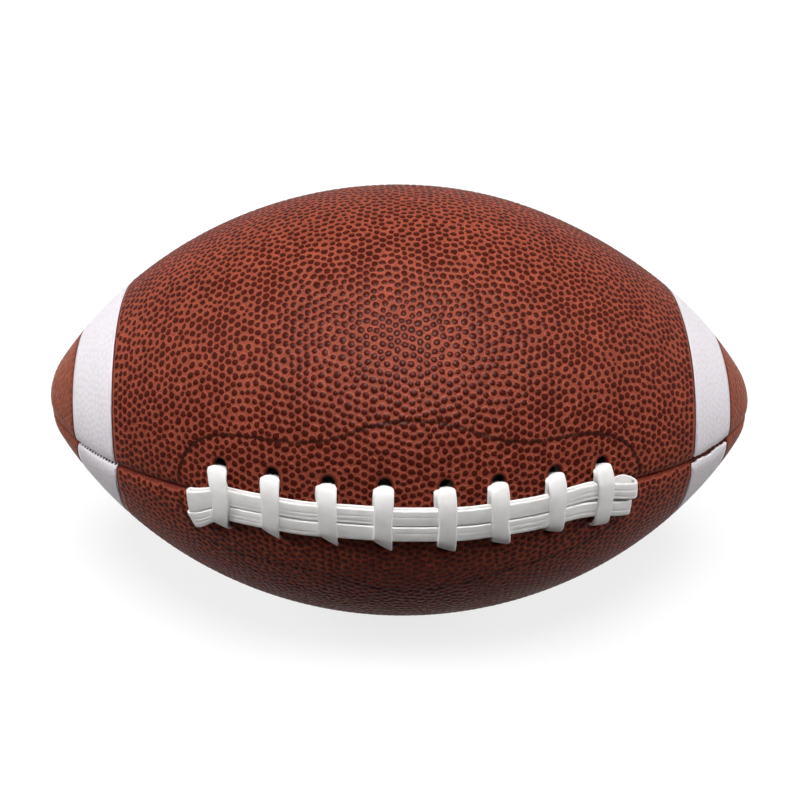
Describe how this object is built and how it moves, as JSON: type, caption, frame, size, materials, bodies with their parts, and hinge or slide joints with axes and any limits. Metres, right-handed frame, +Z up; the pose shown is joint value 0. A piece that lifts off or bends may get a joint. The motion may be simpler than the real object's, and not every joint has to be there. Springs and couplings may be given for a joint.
{
  "type": "american football",
  "caption": "Full-size american football: pebbled brown panels sewn nose to nose over an air bladder, with white end stripes and a flat white lace closing the front slit.",
  "frame": {"origin": "centre of the ball, on its long axis, halfway between the noses", "axes": "+X along the ball's long axis, from nose to nose; the lace faces -Y; +Z up"},
  "size_m": [0.2798, 0.1746, 0.1715],
  "materials": {
    "pebbled_cover": "pebbled, semi-matt",
    "stripe_film": "fine-grained, matt",
    "lace_vinyl": "smooth, satin",
    "sewing_thread": "twisted, waxed",
    "cotton_lining": "plain weave",
    "facing_cloth": "plain weave",
    "tongue_sheet": "matt",
    "bladder_rubber": "smooth, matt",
    "valve_rubber": "smooth, satin"
  },
  "bodies": {
    "root": {"panel_front_upper": "pebbled_cover", "lining_front_upper": "cotton_lining", "stripe_left_front_upper": "stripe_film", "stripe_right_front_upper": "stripe_film", "panel_back_upper": "pebbled_cover", "lining_back_upper": "cotton_lining", "stripe_left_back_upper": "stripe_film", "stripe_right_back_upper": "stripe_film", "panel_back_lower": "pebbled_cover", "lining_back_lower": "cotton_lining", "stripe_left_back_lower": "stripe_film", "stripe_right_back_lower": "stripe_film", "panel_front_lower": "pebbled_cover", "lining_front_lower": "cotton_lining", "stripe_left_front_lower": "stripe_film", "stripe_right_front_lower": "stripe_film", "seam_thread_top": "sewing_thread", "seam_thread_back": "sewing_thread", "seam_thread_bottom": "sewing_thread", "seam_thread_lace_left": "sewing_thread", "seam_thread_lace_right": "sewing_thread", "lace_facing_upper": "facing_cloth", "lace_facing_lower": "facing_cloth", "facing_stitch_upper": "sewing_thread", "facing_stitch_lower": "sewing_thread", "lace_run_upper": "lace_vinyl", "lace_run_lower": "lace_vinyl", "lace_crosses": "lace_vinyl", "tongue": "tongue_sheet", "bladder": "bladder_rubber", "valve_housing": "valve_rubber", "valve_plug": "valve_rubber"}
  },
  "joints": []
}
